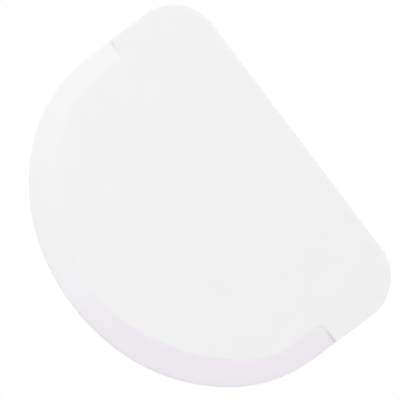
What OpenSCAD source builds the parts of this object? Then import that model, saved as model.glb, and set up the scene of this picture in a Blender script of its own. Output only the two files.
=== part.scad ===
// A bowl scraper, moulded in one piece. Its flat back lies on the XY plane and its shown face looks up.
// The straight edge runs along X on the +Y side and the curved scraping edge bulges towards -Y.
// The origin is under the middle of the scraper. All lengths are in millimetres.

/* [Sheet] */
// Width along the straight edge
blade_width = 120; // [105:1:140]
// Depth from the straight edge to the tip of the curved edge
blade_depth = 89.5; // [82:0.5:100]
// Thickness of the flat part
sheet = 1.6; // [1.4:0.1:2.2]
// Radius of the two corners beside the straight edge
corner_radius = 15.3; // [8:0.1:20]
// Rounding of the shown face along the straight edge and the corners
rim_radius = 0.2; // [0.1:0.1:0.6]

/* [Curved edge] */
// Straight length of each short side, from the corner to the curved edge
side_length = 23.2; // [20:0.1:28]
// Radius of the flank arc, between shoulder and tip, as a share of the mean of the curve's half width
// and its height
flank_share = 1.07; // [0.95:0.01:1.25]

/* [Bevel] */
// Thickness of the scraping edge just below the steps
edge_thickness = 0.65; // [0.5:0.05:0.9]
// Width of the bevel along the short sides
bevel_side = 7.4; // [6:0.1:9]
// Width of the bevel at the tip
bevel_tip = 7.7; // [6:0.1:9]
// Width over which the flat face rounds into the bevel
blend_width = 1.8; // [0.6:0.1:2.4]
// Radius of the bevel line's flank arc, as a share of the mean of that line's half width and its height
bevel_flank_share = 1.41; // [1.2:0.01:1.55]

/* [Steps] */
// Length of each short side above its step, from the corner
step_run = 13.9; // [8:0.1:16]
// Straight length of the bevel line below a step
bevel_run = 11.2; // [8:0.1:14]
// Radius in plan where a step turns along the bevel line
step_radius = 3.5; // [1:0.1:5]

/* [Back] */
// Radius of the round marks that the ejector pins leave
mark_radius = 2.5; // [1.5:0.1:4]
// Depth of the pin marks
mark_depth = 0.1; // [0.05:0.05:0.2]
// Distance of the upper pair of marks from the straight edge
upper_mark_inset = 20; // [12:0.5:28]
// Distance of the lower pair of marks from the tip
lower_mark_inset = 28; // [20:0.5:34]
// Distance between the two upper marks
upper_mark_spread = 72; // [40:1:80]
// Distance between the two lower marks
lower_mark_spread = 50; // [30:1:60]

/* [Hidden] */
$fn = 96;
// How far a cutting shape reaches past what it cuts
overrun = 1;
// A length that reaches past the whole scraper from anywhere inside it
far = 2 * (blade_width + blade_depth);
// Step that the sizes of the bevel's section are kept to, so that neighbouring stretches meet exactly
grain = 0.001;
// Coarser step that the flank arcs' radii are kept to, for the same reason
radius_grain = 0.1;
// How far the blend's circle stands out of the two faces that it joins, so that it meets both cleanly
stand_out = 0.002;
// Directions in which a curve's shoulder arc and flank arc end, as the cosine and sine of the angle
// below the x axis. They belong to right triangles with whole sides, 3-4-5 and 7-24-25.
shoulder_end_shares = [4 / 5, 3 / 5];
flank_end_shares = [7 / 25, 24 / 25];
half_width = blade_width / 2;
edge_y = blade_depth / 2;
tip_y = -edge_y;
// Heights of the corner arcs' centres, of the steps and of the upper ends of the two curves
corner_y = edge_y - corner_radius;
step_y = corner_y - step_run;
side_end_y = corner_y - side_length;
bevel_start_y = step_y - bevel_run;
// The bevel falls at one slope all the way round
bevel_slope = (sheet - edge_thickness) / bevel_side;
bevel_angle = atan(bevel_slope);
half_blend = blend_width / 2;
// Depth of the blend circle's centre under the flat face
blend_drop = snap(half_blend / tan(bevel_angle / 2), grain);

function snap(length, step) = round(length / step) * step;

// Radii of a curve's shoulder, flank and tip arcs. The arcs run into each other without a kink. The flank
// arc's radius is chosen by its share, and the other two are the ones that bring the curve in from its
// half width and down by its height.
function arc_radii(half, height, share) =
    let (
        flank = snap(share * (half + height) / 2, radius_grain),
        across = half - flank * (shoulder_end_shares[0] - flank_end_shares[0]),
        down = height - flank * (flank_end_shares[1] - shoulder_end_shares[1]),
        across_shoulder = 1 - shoulder_end_shares[0],
        down_tip = 1 - flank_end_shares[1],
        scale = across_shoulder * down_tip - flank_end_shares[0] * shoulder_end_shares[1],
        shoulder = (across * down_tip - down * flank_end_shares[0]) / scale,
        tip = (down * across_shoulder - across * shoulder_end_shares[1]) / scale
    )
    [shoulder, flank, tip];

// Turns the section in children() round the z axis, from one direction to the next, both given as x and y
module sector(from, to) {
    intersection() {
        rotate_extrude()
            children();
        translate([0, 0, -far])
            linear_extrude(2 * far)
                polygon([[0, 0], far * from, far * (from + to), far * to]);
    }
}

// Carries the section in children(), drawn across x and z, along +Y
module stretch(length) {
    mirror([0, 1, 0])
        rotate([90, 0, 0])
            linear_extrude(length)
                children();
}

// The right half of a solid that carries a section down the short side to start_y and on round to the
// tip. The side runs up past the step, where the lower part cuts it. The section reads $reach, which is
// the half width or the radius of its arc.
module along(half, start_y, end_y, share) {
    radii = arc_radii(half, start_y - end_y, share);
    first = [half - radii[0], start_y];
    from_flank = [shoulder_end_shares[0], -shoulder_end_shares[1]];
    from_tip = [flank_end_shares[0], -flank_end_shares[1]];
    centres = [first, first + (radii[0] - radii[1]) * from_flank, [0, end_y + radii[2]]];
    bounds = [[1, 0], from_flank, from_tip, [0, -1]];
    for (i = [0 : len(radii) - 1]) {
        $reach = radii[i];
        translate(centres[i])
            sector(bounds[i], bounds[i + 1])
                children();
    }
    $reach = half;
    translate([0, start_y, 0])
        stretch(blade_depth)
            children();
}

// Section of the upper part, from its axis out to the rim: the shown face is rounded, the back is crisp
module rim_section(reach) {
    square([reach, sheet - rim_radius]);
    square([reach - rim_radius, sheet]);
    translate([reach - rim_radius, sheet - rim_radius])
        circle(rim_radius);
}

// Section of a plain upright wall, tall enough for the bevel to cut its top
module wall_section(reach) {
    square([reach, sheet + overrun]);
}

// Section under the flat face and the bevel: level to the bevel line, then the slope, with the corner
// between them rounded by a large circle
module bevel_section(reach) {
    foot = snap((sheet + overrun) / bevel_slope, grain);
    radius = blend_drop + stand_out;
    difference() {
        polygon([[0, -overrun], [0, sheet], [reach, sheet], [reach + foot, -overrun]]);
        translate([reach - half_blend, sheet - half_blend])
            difference() {
                square([snap(radius * sin(bevel_angle), grain), half_blend + overrun]);
                translate([0, half_blend - blend_drop])
                    circle(radius);
            }
    }
}

// The flat middle, inside the rim and the bevel line. It joins the stretches that run round it.
module flat_middle() {
    top = [half_width - corner_radius, edge_y - corner_radius / 2];
    side = half_width - bevel_side - blend_width;
    tip = tip_y + bevel_tip + blend_width;
    linear_extrude(sheet)
        polygon([
            top,
            [side, corner_y],
            [side, bevel_start_y],
            [0, tip],
            [-side, bevel_start_y],
            [-side, corner_y],
            [-top.x, top.y]
        ]);
}

// The edge above the steps: full thickness, with its rounded rim
module upper_edge() {
    inner_half = half_width - corner_radius;
    for (left = [0, 1]) {
        mirror([left, 0, 0]) {
            translate([inner_half, corner_y, 0])
                sector([0, 1], [1, 0])
                    rim_section(corner_radius);
            translate([inner_half, step_y, 0])
                stretch(corner_y - step_y)
                    rim_section(corner_radius);
        }
    }
    translate([-inner_half, corner_y, 0])
        rotate([90, 0, 90])
            linear_extrude(2 * inner_half)
                rim_section(corner_radius);
}

// The right half of the part below the steps: the sheet's outline under the flat face and the bevel
module lower_half() {
    intersection() {
        along(half_width, side_end_y, tip_y, flank_share)
            wall_section($reach);
        along(half_width - bevel_side, bevel_start_y, tip_y + bevel_tip, bevel_flank_share)
            bevel_section($reach);
        translate([0, step_y, -far])
            mirror([0, 1, 0])
                cube([far, far, 2 * far]);
    }
}

// Fills the inside corner in plan where a step turns along the bevel line
module step_corner() {
    translate([half_width - bevel_side - half_blend, step_y - step_radius, 0])
        linear_extrude(sheet)
            difference() {
                square(step_radius);
                translate([step_radius, 0])
                    circle(step_radius);
            }
}

// The shallow marks of the ejector pins, as the discs to cut from the back
module pin_marks() {
    spots = [
        [upper_mark_spread / 2, edge_y - upper_mark_inset],
        [lower_mark_spread / 2, tip_y + lower_mark_inset]
    ];
    for (spot = spots, left = [0, 1])
        mirror([left, 0, 0])
            translate([spot.x, spot.y, -overrun])
                cylinder(r = mark_radius, h = overrun + mark_depth);
}

module scraper() {
    color([0.95, 0.95, 0.94])
        difference() {
            union() {
                flat_middle();
                upper_edge();
                for (left = [0, 1]) {
                    mirror([left, 0, 0]) {
                        lower_half();
                        step_corner();
                    }
                }
            }
            pin_marks();
        }
}

scraper();
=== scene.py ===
import math

import bpy
import numpy as np
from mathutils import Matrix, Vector, geometry


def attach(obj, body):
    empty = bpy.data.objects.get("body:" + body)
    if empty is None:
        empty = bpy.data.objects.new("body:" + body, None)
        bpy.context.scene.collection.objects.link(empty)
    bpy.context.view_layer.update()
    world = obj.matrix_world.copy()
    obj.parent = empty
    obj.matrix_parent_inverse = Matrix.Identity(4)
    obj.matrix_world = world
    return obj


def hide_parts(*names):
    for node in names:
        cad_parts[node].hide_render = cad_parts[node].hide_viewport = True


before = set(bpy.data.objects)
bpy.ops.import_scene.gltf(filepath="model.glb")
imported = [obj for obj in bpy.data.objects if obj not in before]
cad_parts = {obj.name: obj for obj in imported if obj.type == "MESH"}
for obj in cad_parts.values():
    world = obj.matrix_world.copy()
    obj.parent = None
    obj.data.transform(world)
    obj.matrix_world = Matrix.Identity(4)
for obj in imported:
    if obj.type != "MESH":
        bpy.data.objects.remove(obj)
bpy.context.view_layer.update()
mm = 0.001

# The sheet seen from above, in mm. The straight edge lies along X at +edgeY, the tip at -edgeY.
sheet = {
    "halfWidth": 60.0,
    "edgeY": 44.75,
    "thick": 1.6,
    "cornerRadius": 15.3,
    "sideEndY": 6.25,         # lower end of the straight short sides
    "flankRadius": 59.4,      # outline arc between shoulder and tip
    "lineHalf": 52.6,         # half width of the bevel line
    "lineTipY": -37.05,
    "lineStartY": 4.35,       # where the bevel line leaves its straight side
    "lineFlankRadius": 66.3,
    "stepY": 15.55,           # place of the steps up to full thickness
    # Directions where a curve's arcs begin and end, as angles below the x axis. The middle ones belong
    # to right triangles with whole sides, 3-4-5 and 7-24-25.
    "arcEnds": (0.0, math.atan2(3, 4), math.atan2(24, 7), math.pi / 2),
}
# How finely the sheet's outline is divided
stations = {
    "straightGap": 1.6,       # mm between stations along the straight edge
    "sideGap": 0.7,           # mm, along the short sides
    "cornerSteps": 30,
    "arcSteps": (34, 52, 40), # shoulder, flank and half the tip arc
}


def chainRadii(half, height, flank):
    # Three arcs that run into each other without a kink. Each spans its radius times the difference of
    # its ends' cosines across, and of their sines down. Those spans add up to the half width and the
    # height, which gives the shoulder and tip radii once the flank radius is given.
    cosines, sines = np.cos(sheet["arcEnds"]), np.sin(sheet["arcEnds"])
    across, down = cosines[:-1] - cosines[1:], sines[1:] - sines[:-1]
    spans = np.array([[across[0], across[2]], [down[0], down[2]]])
    rest = np.array([half - flank * across[1], height - flank * down[1]])
    shoulder, tip = np.linalg.solve(spans, rest)
    return shoulder, flank, tip


def chainCentres(half, startY, tipY, radii):
    # The flank's centre lies in line with the shoulder's and the point that their two arcs share
    shared = sheet["arcEnds"][1]
    shoulder = np.array([half - radii[0], startY])
    flank = shoulder + (radii[0] - radii[1]) * np.array([math.cos(shared), -math.sin(shared)])
    return np.array([shoulder, flank, [0.0, tipY + radii[2]]])


def exitWidth(points, ways):
    # Distance from each point along its direction to the outline: the run to the straight side, or the
    # root of |p + t d - c| = R for the arc whose sector holds the answer
    half, startY, tipY = sheet["halfWidth"], sheet["sideEndY"], -sheet["edgeY"]
    radii = chainRadii(half, startY - tipY, sheet["flankRadius"])
    centres = chainCentres(half, startY, tipY, radii)
    ends, slack = sheet["arcEnds"], 1e-6
    width = np.full(len(points), np.nan)
    run = (half - points[:, 0]) / np.maximum(ways[:, 0], slack)
    onSide = points[:, 1] + run * ways[:, 1] >= startY - slack
    width[onSide] = run[onSide]
    for i in range(len(radii)):
        offset = points - centres[i]
        along = (offset * ways).sum(1)
        root = -along + np.sqrt(np.maximum(along ** 2 - (offset ** 2).sum(1) + radii[i] ** 2, 0))
        hit = offset + root[:, None] * ways
        turn = np.arctan2(-hit[:, 1], hit[:, 0])
        found = (turn >= ends[i] - slack) & (turn <= ends[i + 1] + slack) & np.isnan(width)
        width[found] = root[found]
    return width


# The two steps up to full thickness, whose walls run across the short sides
step = {
    "foot": {"right": -1.1, "left": -1.3},   # mm, lower end of each wall, from the step's place
    "top": {"right": 0.15, "left": 0.8},     # mm, upper end
    "rise": {                                # share of the rise, evenly from foot to top
        "right": (0.0, 0.02, 0.09, 0.24, 0.48, 0.74, 0.92, 0.985, 1.0),
        "left": (0.0, 0.04, 0.10, 0.17, 0.25, 0.36, 0.58, 0.88, 0.97, 1.0),
    },
    "planRadius": 3.5,        # mm, inner end of each step, seen from above
    "leanHold": 1.2,          # mm, stations this near the step follow its rounded end
    "leanRun": 7.0,           # mm, over which further ones turn back to square
    "leanFade": 10.0,         # mm, over which the flat middle takes up the rest
}


def between(high, low):
    # Evenly spaced heights from one to the other, without the two ends
    return np.linspace(high, low, int((high - low) / stations["sideGap"]) + 1)[1:-1]


def halfRing(hand):
    # Stations down one half, from the middle of the straight edge to the tip. Each has a point on the
    # inner line, an outward direction, the width from there to the outline, the share of full
    # thickness, and how far it leans with the step's rounded end.
    band = sheet["halfWidth"] - sheet["lineHalf"]
    cornerX = sheet["halfWidth"] - sheet["cornerRadius"]
    cornerY = sheet["edgeY"] - sheet["cornerRadius"]
    straightX = np.linspace(0, cornerX, int(cornerX / stations["straightGap"]) + 1)[:-1]
    straight = np.stack([straightX, np.full(len(straightX), sheet["edgeY"] - band)], 1)
    turn = np.linspace(math.pi / 2, 0, stations["cornerSteps"] + 1)
    cornerWays = np.stack([np.cos(turn), np.sin(turn)], 1)
    corner = np.array([cornerX, cornerY]) + (sheet["cornerRadius"] - band) * cornerWays
    rise = np.array(step["rise"][hand])[::-1]
    wallY = sheet["stepY"] + np.linspace(step["top"][hand], step["foot"][hand], len(rise))
    aboveY = between(cornerY, wallY[0])
    belowY = between(wallY[-1], sheet["lineStartY"])
    sideY = np.concatenate([aboveY, wallY, belowY])
    side = np.stack([np.full(len(sideY), sheet["lineHalf"]), sideY], 1)

    lineHeight = sheet["lineStartY"] - sheet["lineTipY"]
    radii = chainRadii(sheet["lineHalf"], lineHeight, sheet["lineFlankRadius"])
    centres = chainCentres(sheet["lineHalf"], sheet["lineStartY"], sheet["lineTipY"], radii)
    arcs, arcWays = [], []
    for i in range(len(radii)):
        turn = np.linspace(sheet["arcEnds"][i], sheet["arcEnds"][i + 1], stations["arcSteps"][i] + 1)
        turn = turn[min(i, 1):]
        arcWays.append(np.stack([np.cos(turn), -np.sin(turn)], 1))
        arcs.append(centres[i] + radii[i] * arcWays[i])
    points = np.vstack([straight, corner, side] + arcs)
    up, out = np.array([0.0, 1.0]), np.array([1.0, 0.0])
    straightWays, sideWays = np.tile(up, (len(straight), 1)), np.tile(out, (len(side), 1))
    ways = np.vstack([straightWays, cornerWays, sideWays] + arcWays)
    points[-1, 0] = 0.0
    ways[-1] = -up

    upper, lower = len(straight) + len(corner), len(belowY) + sum(len(arc) for arc in arcs)
    width = np.full(len(points), band)
    width[upper:] = exitWidth(points[upper:], ways[upper:])
    full = np.concatenate([np.ones(upper + len(aboveY)), rise, np.zeros(lower)])
    apart = np.clip(np.abs(points[:, 1] - sheet["stepY"]) - step["leanHold"], 0, None)
    lean = np.clip(1 - apart / step["leanRun"], 0, 1) * (points[:, 0] > cornerX)
    return points, ways, width, full, lean


def wholeRing():
    # The right half, then the left one as its mirror image, back to the middle of the straight edge
    right, left = halfRing("right"), halfRing("left")
    flip = np.array([-1.0, 1.0])
    back = slice(len(left[0]) - 2, 0, -1)
    placed = [np.vstack([right[i], left[i][back] * flip]) for i in (0, 1)]
    return placed + [np.concatenate([right[i], left[i][back]]) for i in (2, 3, 4)]


# The edge's section, in mm
edge = {
    "thinnest": 0.65,         # thickness below the steps, along the short sides
    "blend": 1.8,             # width over which the flat face rounds into the bevel
    "leadIn": 2.2,            # the section starts this far inside the inner line
    "leadShare": 0.63,        # points crowd round the line, this share of the blend to each side
    "crownRun": 1.1,          # the bevel rolls off further over this run
    "crownDrop": 0.06,
    "bevelRound": 0.2,        # top of the scraping edge
    "tipDrop": 0.10,          # at the tip, wear adds this to the crown
    "tipRound": 0.25,         # and this to the rounding
    "tipReach": 8.0,          # the higher, the nearer to the tip the wear stays
    "rimRound": 0.2,          # shown face above the steps
    "rimRun": 2.0,            # towards the straight edge the face rolls off a little over this run
    "rimDrop": 0.16,
    "rimPower": 4,            # the higher, the later it starts to fall
    "rimReach": 4.0,          # the higher, the less of the corners it takes
    "backRound": 0.07,        # every edge of the back
    "backRun": (0.35, 1.4),   # the last points' distances from the wall, along the back
    "blendSteps": 12,
    "slopeSteps": 12,
    "slopeCrowd": 0.7,        # under 1, the slope's points lie closer towards the edge
    "roundSteps": 8,
    "backSteps": 3,
    "thinnedDrop": 0.03,      # under the flat face, from where the sheet fully counts as thin
}
slope = (sheet["thick"] - edge["thinnest"]) / (sheet["halfWidth"] - sheet["lineHalf"])
facePoints = edge["blendSteps"] + edge["slopeSteps"] + 2    # of a section, before its rounded edge
shownPoints = facePoints + edge["roundSteps"] + 1           # with its rounded edge


def bevelDrop(across, width, crown):
    # Level, then an arc tangent to the level face and to the slope, whose drop is R - sqrt(R^2 - s^2),
    # then the slope. Over the last stretch a parabola rolls the bevel off a little more.
    half, angle = edge["blend"] / 2, math.atan(slope)
    radius = half / math.tan(angle / 2)
    into = np.clip(across + half, 0, radius * math.sin(angle))
    arc = radius - np.sqrt(radius ** 2 - into ** 2)
    rolled = np.clip(across - (width - edge["crownRun"]), 0, None) / edge["crownRun"]
    return np.where(across > half, slope * across, arc) + crown * rolled ** 2


def rimDrop(across, width, drop):
    # Level, then the drop grows with a power of the way over the last stretch
    rolled = np.clip(across - (width - edge["rimRun"]), 0, None) / edge["rimRun"]
    return drop * rolled ** edge["rimPower"]


def roundedEdge(width, height, fall, radius):
    # Part of a circle from the top, which falls at the given rate, to the upright wall. Its centre lies
    # one radius under the top and one radius inside the wall.
    start = np.arctan(fall)
    turn = start + (math.pi / 2 - start) * np.linspace(0, 1, edge["roundSteps"] + 1)
    centreUp = height + fall * radius - radius / np.cos(start)
    return width - radius * (1 - np.sin(turn)), centreUp + radius * np.cos(turn)


def section(width, ways, bevelled):
    # For each station, the run of points from just inside the inner line, over the edge, down the wall
    # and a little way along the back. The bevelled section takes the wear, the full one is nearly level.
    width = width[:, None]
    wear = np.clip(-ways[:, 1:], 0, 1) ** edge["tipReach"]
    crown = edge["crownDrop"] + edge["tipDrop"] * wear
    roll = edge["rimDrop"] * np.clip(ways[:, 1:], 0, 1) ** edge["rimReach"]
    lead = edge["leadShare"] * edge["blend"] * np.linspace(-1, 1, edge["blendSteps"] + 1)
    lead = np.tile(np.append(-edge["leadIn"], lead), (len(width), 1))
    if bevelled:
        radius = edge["bevelRound"] + edge["tipRound"] * wear
        fall = slope + 2 * crown / edge["crownRun"]
        top = sheet["thick"] - bevelDrop(width, width, crown)
    else:
        radius = edge["rimRound"]
        fall = edge["rimPower"] * roll / edge["rimRun"]
        top = sheet["thick"] - rimDrop(width, width, roll)
    roundAcross, roundUp = roundedEdge(width, top, fall, radius)
    share = (np.arange(1, edge["slopeSteps"] + 1) / (edge["slopeSteps"] + 1)) ** edge["slopeCrowd"]
    face = np.hstack([lead, lead[:, -1:] + (roundAcross[:, :1] - lead[:, -1:]) * share])
    faceUp = sheet["thick"] - (bevelDrop(face, width, crown) if bevelled else rimDrop(face, width, roll))
    turn = np.linspace(0, math.pi / 2, edge["backSteps"] + 1)
    wall = width - edge["backRound"]
    backAcross = np.hstack([wall + edge["backRound"] * np.cos(turn), wall - np.array(edge["backRun"])])
    backUp = np.append(edge["backRound"] * (1 - np.sin(turn)), np.zeros(len(edge["backRun"])))
    across = np.hstack([face, roundAcross, backAcross])
    return across, np.hstack([faceUp, roundUp, np.tile(backUp, (len(width), 1))])


def leanBack(xy, lean):
    # Moves the wall's stations towards the tip by the quarter circle that rounds the step's inner end,
    # R - sqrt(R^2 - s^2), and fades that out over the flat middle
    radius = step["planRadius"]
    beyond = np.abs(xy[..., 0]) - (sheet["lineHalf"] - edge["blend"] / 2)
    into = np.clip(radius - beyond, 0, radius)
    drop = radius - np.sqrt(radius ** 2 - into ** 2)
    faded = radius * np.clip(1 + beyond / step["leanFade"], 0, 1)
    xy[..., 1] -= np.where(beyond < 0, faded, drop) * lean[:, None]


# Shallow marks of the ejector pins in the back, in mm
pinMarks = {
    "spots": ((36.0, 24.75), (-36.0, 24.75), (25.0, -16.75), (-25.0, -16.75)),
    "steps": 56,
    # Radius and height of the rings, from the rim to the ceiling
    "run": (
        (2.56, 0.0), (2.515, 0.006), (2.5, 0.03), (2.49, 0.075), (2.46, 0.095), (2.4, 0.1), (1.3, 0.1),
    ),
}
# Loose points that carry the flat faces, in mm
lattice = {
    "gap": 6.0,
    "offLoop": 4.0,
    "offMark": 4.5,
    "merge": 1e-7,            # points closer than this are taken as one
}


def insideLoop(points, loop):
    # Even-odd rule: a ray towards +x crosses the loop an odd number of times
    ahead = np.roll(loop, -1, 0)
    x, y = points[:, :1], points[:, 1:]
    spans = (loop[:, 1] > y) != (ahead[:, 1] > y)
    rise = ahead[:, 1] - loop[:, 1]
    run = (y - loop[:, 1]) * (ahead[:, 0] - loop[:, 0]) / np.where(rise == 0, 1, rise)
    return (spans & (loop[:, 0] + run > x)).sum(1) % 2 == 1


def nearest(points, others):
    # Distance from each point to the nearest of the others
    return np.sqrt(((points[:, None, :] - others[None]) ** 2).sum(2)).min(1)


def flatFill(loop, spots, circle):
    # Triangles over the flat area inside the loop, on a loose lattice, with a round gap at each spot.
    # They count the loop's points first, then the new ones, which come back too: the gaps' rims and the
    # lattice. They turn anticlockwise.
    gap, each = lattice["gap"], len(circle)
    gridX = np.arange(gap - sheet["halfWidth"], sheet["halfWidth"], gap)
    gridY = np.arange(gap - sheet["edgeY"], sheet["edgeY"], gap)
    loose = np.stack(np.meshgrid(gridX, gridY), -1).reshape(-1, 2)
    loose = loose[insideLoop(loose, loop) & (nearest(loose, loop) > lattice["offLoop"])]
    if len(spots):
        loose = loose[nearest(loose, spots) > lattice["offMark"]]
    rims = (spots[:, None, :] + circle[None]).reshape(-1, 2)
    flat = np.vstack([loop, rims, loose])
    rimOf = np.full(len(flat), -1)
    rimOf[len(loop):len(loop) + len(rims)] = np.repeat(np.arange(len(spots)), each)
    start = np.arange(len(loop) + len(rims))
    end = np.append(np.roll(start[:len(loop)], -1), len(loop) + nextInRing(len(spots), each))
    borders = np.stack([start, end], 1).tolist()
    insideOnly = 1
    made = geometry.delaunay_2d_cdt(flat.tolist(), borders, [], insideOnly, lattice["merge"])
    triangles = np.array(made[2])
    rim = rimOf[triangles]
    triangles = triangles[(rim[:, 0] < 0) | (rim != rim[:, :1]).any(1)]   # none inside a gap
    a, b, c = flat[triangles[:, 0]], flat[triangles[:, 1]], flat[triangles[:, 2]]
    clockwise = (b - a)[:, 0] * (c - a)[:, 1] < (b - a)[:, 1] * (c - a)[:, 0]
    triangles[clockwise] = triangles[clockwise][:, ::-1]
    return flat[len(loop):], triangles


def nextInRing(rings, each):
    # Index of each point's follower, for rings of the same length one after the other
    return np.roll(np.arange(rings * each).reshape(rings, each), -1, 1).ravel()


def markRings(rimIndex, first):
    # The marks' own profile turned round each spot, from the rim to a pole in the ceiling. New points
    # count from first.
    spots, run = np.array(pinMarks["spots"]), np.array(pinMarks["run"])[1:]
    count, rows, each = len(spots), len(run), pinMarks["steps"]
    plan = spots[:, None, None, :] + run[None, :, None, :1] * unitCircle(each)
    heights = np.broadcast_to(run[None, :, None, 1:], plan.shape[:3] + (1,))
    rings = np.concatenate([plan, heights], 3).reshape(-1, 3)
    poles = np.column_stack([spots, np.full(count, run[-1, 1])])
    index = first + np.arange(count * rows * each).reshape(count, rows, each)
    index = np.concatenate([rimIndex.reshape(count, 1, each), index], 1)
    ahead = np.roll(index, -1, 2)
    quads = np.stack([index[:, :-1], index[:, 1:], ahead[:, 1:], ahead[:, :-1]], 3).reshape(-1, 4)
    pole = np.broadcast_to(first + len(rings) + np.arange(count)[:, None], (count, each))
    caps = np.stack([index[:, -1], pole, ahead[:, -1]], 2).reshape(-1, 3)
    return np.vstack([rings, poles]), quads, caps


def unitCircle(steps):
    # Cosine and sine of evenly spaced turns
    turn = np.arange(steps) * 2 * math.pi / steps
    return np.stack([np.cos(turn), np.sin(turn)], 1)


# Painted shade: a grey line in the foot of the right step, where the step's shadow falls, in mm
stepShade = {
    "middle": -0.5,           # the grey line's middle, from the step's place
    "reach": 0.5,
    "outwards": (53.5, 58.5), # it deepens from here to here
}


def stepShadeLine(grid, stationY):
    # Painted shade across the step's foot: a bell curve, times a ramp outwards
    near, far = stepShade["outwards"]
    apart = (stationY - sheet["stepY"] - stepShade["middle"]) / stepShade["reach"]
    share = np.exp(-apart ** 2)[:, None] * np.clip((grid[..., 0] - near) / (far - near), 0, 1)
    share[:, shownPoints:] = 0
    return share


def thinned(up, full):
    # How thin the sheet is under each point of the shown face, as a smooth step of its drop. The wall
    # keeps its edge's value. The back and the stations at full thickness have none.
    share = np.clip((sheet["thick"] - up) / edge["thinnedDrop"], 0, 1)
    share[:, facePoints:] = share[:, facePoints - 1:facePoints]
    share[:, -1] = 0
    share[full == 1] = 0
    return share ** 2 * (3 - 2 * share)


def mouldedSheet():
    # Stations round the sheet by steps across the edge, closed by triangles over the flat face and the
    # back. A station's section is the bevelled one mixed with the full one by its share of thickness.
    points, ways, width, full, lean = wholeRing()
    (lowAcross, lowUp), (highAcross, highUp) = section(width, ways, True), section(width, ways, False)
    mix = full[:, None]
    across = lowAcross + (highAcross - lowAcross) * mix
    up = lowUp + (highUp - lowUp) * mix
    grid = points[:, None, :] + across[..., None] * ways[:, None, :]
    leanBack(grid, lean)
    index = np.arange(up.size).reshape(up.shape)
    ahead = np.roll(index, -1, 0)
    quads = np.stack([index[:, :-1], ahead[:, :-1], ahead[:, 1:], index[:, 1:]], 2).reshape(-1, 4)

    noSpots = np.zeros((0, 2))
    flatPoints, flatTriangles = flatFill(grid[:, 0], noSpots, unitCircle(pinMarks["steps"]))
    flatIndex = np.append(index[:, 0], up.size + np.arange(len(flatPoints)))
    rim = pinMarks["run"][0][0] * unitCircle(pinMarks["steps"])
    backPoints, backTriangles = flatFill(grid[:, -1], np.array(pinMarks["spots"]), rim)
    backStart = up.size + len(flatPoints)
    backIndex = np.append(index[:, -1], backStart + np.arange(len(backPoints)))
    rimIndex = backStart + np.arange(len(pinMarks["spots"]) * pinMarks["steps"])
    markPoints, markQuads, markCaps = markRings(rimIndex, backStart + len(backPoints))

    verts = np.vstack([
        np.dstack([grid, up]).reshape(-1, 3),
        np.column_stack([flatPoints, np.full(len(flatPoints), sheet["thick"])]),
        np.column_stack([backPoints, np.zeros(len(backPoints))]),
        markPoints,
    ])
    triangles = np.vstack([flatIndex[flatTriangles], backIndex[backTriangles][:, ::-1], markCaps])
    mesh = bpy.data.meshes.new("scraper_skin")
    faces = quads.tolist() + markQuads.tolist() + triangles.tolist()
    mesh.from_pydata((verts * mm).tolist(), [], faces)
    # The first share masks the painted shade in the foot of the right step, the second the thin edge's
    # painted shade
    shares = {"stepShadeLine": stepShadeLine(grid, points[:, 1]), "thinned": thinned(up, full)}
    none = np.zeros(len(verts) - up.size)
    for name, values in shares.items():
        layer = mesh.attributes.new(name, "FLOAT", "POINT")
        layer.data.foreach_set("value", np.append(values, none).astype(np.float32))
    mesh.polygons.foreach_set("use_smooth", np.ones(len(mesh.polygons), bool))
    mesh.update()
    piece = bpy.data.objects.new("scraper_skin", mesh)
    bpy.context.scene.collection.objects.link(piece)
    print("moulded sheet:", up.shape[0], "stations,", up.shape[1], "across,", len(faces), "faces")
    return piece


# The colours, and what a noise needs after its size: its detail and roughness
plastic = {
    "colour": (0.888, 0.887, 0.885, 1.0),
    "cloudy": (0.880, 0.877, 0.879, 1.0),    # faint cloudiness in the resin
    "cloudSize": 16.0,        # mm
    "cloudNoise": (4.0, 0.55),
    "cloudRange": (0.35, 0.7),
    # The thin edge's colours below are painted shade: a little darker, then a blue and a lilac cast
    "thinColour": (0.880, 0.879, 0.877, 1.0),
    "agedEarly": (0.888, 0.878, 0.917, 1.0), # painted shade, faintly blue, where the thin edge's tint sets in
    "aged": (0.876, 0.842, 0.891, 1.0),      # painted shade, faintly lilac, further on
    "agedX": (-18.0, 3.0),    # mm, the edge's painted shade sets in between these
    "lilacX": (0.0, 10.0),    # mm, and turns from blue to lilac between these
    "flourGrey": (0.66, 0.64, 0.65, 1.0),
    "flourShare": 0.45,
    "roughness": (0.36, 0.48),
    "scuffRoughness": 0.08,
    "scuffSize": (9.0, 0.35), # mm, length and width of the fine scuffs
    "scuffNoise": (3.0, 0.6),
    "scuffTurn": 12.0,        # degrees
    "scuffRange": (0.60, 0.76),
    "scuffDepth": 0.0012,     # mm
    "grainSize": 0.22,        # mm, satin texture of the mould
    "grainNoise": (2.0, 0.5),
    "grainDepth": 0.0016,     # mm
    "rippleSize": 22.0,       # mm, slow unevenness of the sheet
    "rippleNoise": (1.0, 0.4),
    "rippleDepth": 0.010,     # mm
    "ior": 1.49,
    "lightShare": 0.2,        # of the light that goes through the plastic
    "lightDepth": 1.1,        # mm, how far it spreads there
    "lightSpread": (1.0, 0.92, 0.86),        # shares of that depth for red, green and blue
}


def node(tree, kind, **settings):
    # A new shader node. A name with a space is written without it, such as FromMin.
    made = tree.nodes.new(kind)
    sockets = {socket.name.replace(" ", ""): socket for socket in reversed(made.inputs)}
    for name, value in settings.items():
        if name in sockets:
            sockets[name].default_value = value
        else:
            setattr(made, name, value)
    return made


def mixColours(tree, share, first, second):
    # From the first colour to the second. The first is a socket or a plain colour. The node has sockets
    # for each kind of data, and its inputs 6 and 7 and its output 2 are the ones for colours.
    made = node(tree, "ShaderNodeMix", data_type="RGBA")
    tree.links.new(share, made.inputs[0])
    if isinstance(first, bpy.types.NodeSocket):
        tree.links.new(first, made.inputs[6])
    else:
        made.inputs[6].default_value = first
    made.inputs[7].default_value = second
    return made.outputs[2]


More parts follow.
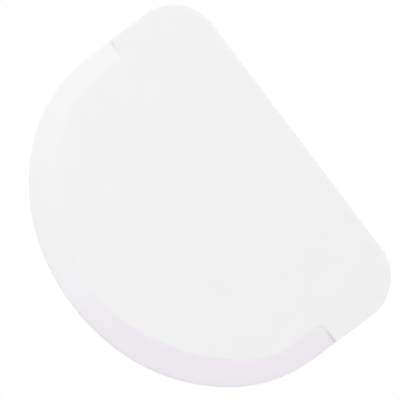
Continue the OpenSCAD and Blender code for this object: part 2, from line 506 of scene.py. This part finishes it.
def ramp(tree, source, limits, results=(0.0, 1.0), kind="LINEAR"):
    # The value goes from the first result to the second while the source crosses the limits
    made = node(
        tree, "ShaderNodeMapRange", interpolation_type=kind,
        FromMin=limits[0], FromMax=limits[1], ToMin=results[0], ToMax=results[1],
    )
    tree.links.new(source, made.inputs["Value"])
    return made.outputs["Result"]


def noise(tree, place, size, finish):
    # Soft cells of the given size, finished with a detail and a roughness
    made = node(tree, "ShaderNodeTexNoise", Scale=1 / size, Detail=finish[0], Roughness=finish[1])
    tree.links.new(place, made.inputs["Vector"])
    return made.outputs["Fac"]


def bump(tree, height, depth, under=None, invert=False):
    # Depth is in mm. Each layer stands on the one under it.
    made = node(tree, "ShaderNodeBump", Strength=1.0, Distance=depth * mm, invert=invert)
    tree.links.new(height, made.inputs["Height"])
    if under:
        tree.links.new(under, made.inputs["Normal"])
    return made.outputs["Normal"]


def product(tree, first, second):
    # The second is a socket or a plain number
    made = node(tree, "ShaderNodeMath", operation="MULTIPLY")
    tree.links.new(first, made.inputs[0])
    if isinstance(second, bpy.types.NodeSocket):
        tree.links.new(second, made.inputs[1])
    else:
        made.inputs[1].default_value = second
    return made.outputs["Value"]


def emptyTree(name):
    # A new material and its node tree, cleared of Blender's own nodes
    material = bpy.data.materials.new(name)
    material.use_nodes = True
    material.node_tree.nodes.clear()
    return material, material.node_tree


def polypropylene():
    # White plastic: satin grain from the mould, slow ripple, fine scuffs along the sheet, a faintly
    # cloudy resin that lets a little light through, painted shade in the thin edge that turns lilac
    # towards the right, and a painted shade line in the foot of the right step
    material, tree = emptyTree("white_polypropylene")
    link = tree.links.new
    shader = node(
        tree, "ShaderNodeBsdfPrincipled", IOR=plastic["ior"], SubsurfaceWeight=plastic["lightShare"],
        SubsurfaceRadius=plastic["lightSpread"], SubsurfaceScale=plastic["lightDepth"] * mm,
    )
    out = node(tree, "ShaderNodeOutputMaterial")
    link(shader.outputs["BSDF"], out.inputs["Surface"])
    where = node(tree, "ShaderNodeTexCoord")
    inMm = node(tree, "ShaderNodeMapping", Scale=(1 / mm, 1 / mm, 1 / mm))
    link(where.outputs["Object"], inMm.inputs["Vector"])
    place = inMm.outputs["Vector"]
    apart = node(tree, "ShaderNodeSeparateXYZ")
    link(place, apart.inputs["Vector"])
    alongX = apart.outputs["X"]

    cloud = noise(tree, place, plastic["cloudSize"], plastic["cloudNoise"])
    clouded = ramp(tree, cloud, plastic["cloudRange"])
    colour = mixColours(tree, clouded, plastic["colour"], plastic["cloudy"])
    # Painted shade on the thin edge: a little darker, with a faint blue and then lilac cast towards the
    # right
    thin = node(tree, "ShaderNodeAttribute", attribute_name="thinned").outputs["Fac"]
    setsIn = product(tree, thin, ramp(tree, alongX, plastic["agedX"], kind="SMOOTHSTEP"))
    turns = product(tree, thin, ramp(tree, alongX, plastic["lilacX"], kind="SMOOTHSTEP"))
    colour = mixColours(tree, thin, colour, plastic["thinColour"])
    colour = mixColours(tree, setsIn, colour, plastic["agedEarly"])
    colour = mixColours(tree, turns, colour, plastic["aged"])
    # Painted shade: a grey line in the foot of the right step
    crease = node(tree, "ShaderNodeAttribute", attribute_name="stepShadeLine").outputs["Fac"]
    colour = mixColours(tree, product(tree, crease, plastic["flourShare"]), colour, plastic["flourGrey"])
    link(colour, shader.inputs["Base Color"])

    length, breadth = plastic["scuffSize"]
    stretch = node(
        tree, "ShaderNodeMapping", Rotation=(0.0, 0.0, math.radians(plastic["scuffTurn"])),
        Scale=(1 / length, 1 / breadth, 1.0),
    )
    link(place, stretch.inputs["Vector"])
    streaks = noise(tree, stretch.outputs["Vector"], 1.0, plastic["scuffNoise"])
    scuff = ramp(tree, streaks, plastic["scuffRange"])
    rough = node(tree, "ShaderNodeMath", operation="ADD")
    link(ramp(tree, cloud, (0.0, 1.0), plastic["roughness"]), rough.inputs[0])
    link(product(tree, scuff, plastic["scuffRoughness"]), rough.inputs[1])
    link(rough.outputs["Value"], shader.inputs["Roughness"])

    ripple = noise(tree, place, plastic["rippleSize"], plastic["rippleNoise"])
    grain = noise(tree, place, plastic["grainSize"], plastic["grainNoise"])
    surface = bump(tree, ripple, plastic["rippleDepth"])
    surface = bump(tree, grain, plastic["grainDepth"], surface)
    link(bump(tree, scuff, plastic["scuffDepth"], surface, invert=True), shader.inputs["Normal"])
    return material


table = {
    "size": 1.6,              # m
    "colour": (0.93, 0.93, 0.93, 1.0),
    "ownLight": 0.95,         # share of white of its own that the camera sees, the rest takes the shadow
    "gap": 0.01,              # mm under the sheet
}


def seenDirectly(tree):
    # One for rays from the camera and for those that gloss or glass sends on
    path = node(tree, "ShaderNodeLightPath")
    last = path.outputs["Is Camera Ray"]
    for kind in ("Is Glossy Ray", "Is Transmission Ray"):
        either = node(tree, "ShaderNodeMath", operation="MAXIMUM")
        tree.links.new(last, either.inputs[0])
        tree.links.new(path.outputs[kind], either.inputs[1])
        last = either.outputs["Value"]
    return last


def paleTable():
    # A plain square under the scraper. The camera sees it nearly white, and it still takes the shadow.
    material, tree = emptyTree("pale_table")
    diffuse = node(tree, "ShaderNodeBsdfDiffuse", Color=table["colour"])
    glow = node(tree, "ShaderNodeEmission", Color=(1.0, 1.0, 1.0, 1.0), Strength=1.0)
    mix = node(tree, "ShaderNodeMixShader")
    tree.links.new(product(tree, seenDirectly(tree), table["ownLight"]), mix.inputs["Fac"])
    tree.links.new(diffuse.outputs["BSDF"], mix.inputs[1])
    tree.links.new(glow.outputs["Emission"], mix.inputs[2])
    out = node(tree, "ShaderNodeOutputMaterial")
    tree.links.new(mix.outputs["Shader"], out.inputs["Surface"])
    half, down = table["size"] / 2, -table["gap"] * mm
    mesh = bpy.data.meshes.new("table_top")
    corners = [(-half, -half, down), (half, -half, down), (half, half, down), (-half, half, down)]
    mesh.from_pydata(corners, [], [(0, 1, 2, 3)])
    mesh.materials.append(material)
    top = bpy.data.objects.new("table_top", mesh)
    bpy.context.scene.collection.objects.link(top)
    return top


light = {
    "keyWay": (-0.84, -0.32, 1.0),   # from the middle of the scraper towards the soft lamp
    "keyFar": 1.6,            # m
    "keySize": 0.9,           # m
    "keyPower": 9.0,          # W
    "room": 0.765,            # brightness of the room
    "roomLean": (0.0, 0.28, 0.0),    # how much brighter it gets towards the straight edge's side
}


def softLamp():
    # A large square lamp that looks at the middle of the scraper
    way = Vector(light["keyWay"]).normalized()
    lamp = bpy.data.lights.new("soft_key", "AREA")
    lamp.shape = "SQUARE"
    lamp.size = light["keySize"]
    lamp.energy = light["keyPower"]
    key = bpy.data.objects.new("soft_key", lamp)
    key.location = way * light["keyFar"]
    key.rotation_euler = way.to_track_quat("Z", "Y").to_euler()
    bpy.context.scene.collection.objects.link(key)


def softRoom():
    # White to the camera. What it gives the scraper is the room's brightness plus the lean along the
    # direction.
    world = bpy.data.worlds.new("soft_room")
    world.use_nodes = True
    tree = world.node_tree
    tree.nodes.clear()
    way = node(tree, "ShaderNodeTexCoord")
    lean = node(tree, "ShaderNodeVectorMath", operation="DOT_PRODUCT")
    lean.inputs[1].default_value = light["roomLean"]
    tree.links.new(way.outputs["Generated"], lean.inputs[0])
    level = node(tree, "ShaderNodeMath", operation="ADD")
    level.inputs[1].default_value = light["room"]
    tree.links.new(lean.outputs["Value"], level.inputs[0])
    room = node(tree, "ShaderNodeBackground", Color=(1.0, 1.0, 1.0, 1.0))
    tree.links.new(level.outputs["Value"], room.inputs["Strength"])
    white = node(tree, "ShaderNodeBackground", Color=(1.0, 1.0, 1.0, 1.0), Strength=1.0)
    path = node(tree, "ShaderNodeLightPath")
    mix = node(tree, "ShaderNodeMixShader")
    tree.links.new(path.outputs["Is Camera Ray"], mix.inputs["Fac"])
    tree.links.new(room.outputs["Background"], mix.inputs[1])
    tree.links.new(white.outputs["Background"], mix.inputs[2])
    out = node(tree, "ShaderNodeOutputWorld")
    tree.links.new(mix.outputs["Shader"], out.inputs["Surface"])
    bpy.context.scene.world = world


view = {
    "aim": (-2.13, 7.93, 1.6),   # mm, what the middle of the picture shows
    "turn": 52.96,            # degrees from the straight edge to the picture's rows
    "span": 127.25,           # mm across the picture
    "height": 1000.0,         # mm above the face
    "sensor": 36.0,           # mm
    "clip": (0.05, 10.0),     # m
}


def overhead():
    # Looks straight down. The focal length is the sensor's width times the height over the span.
    lens = bpy.data.cameras.new("overhead")
    lens.sensor_width = view["sensor"]
    lens.lens = view["sensor"] * view["height"] / view["span"]
    lens.clip_start, lens.clip_end = view["clip"]
    camera = bpy.data.objects.new("overhead", lens)
    camera.location = (Vector(view["aim"]) + Vector((0, 0, view["height"]))) * mm
    camera.rotation_euler = (0, 0, math.radians(view["turn"]))
    bpy.context.scene.collection.objects.link(camera)
    bpy.context.scene.camera = camera


skin = mouldedSheet()
skin.data.materials.append(polypropylene())
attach(skin, "root")
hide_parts("scraper")
print("sheet dressed")

paleTable()
softLamp()
softRoom()
overhead()
bpy.context.scene.view_settings.view_transform = "Standard"
print("table, light and camera placed")
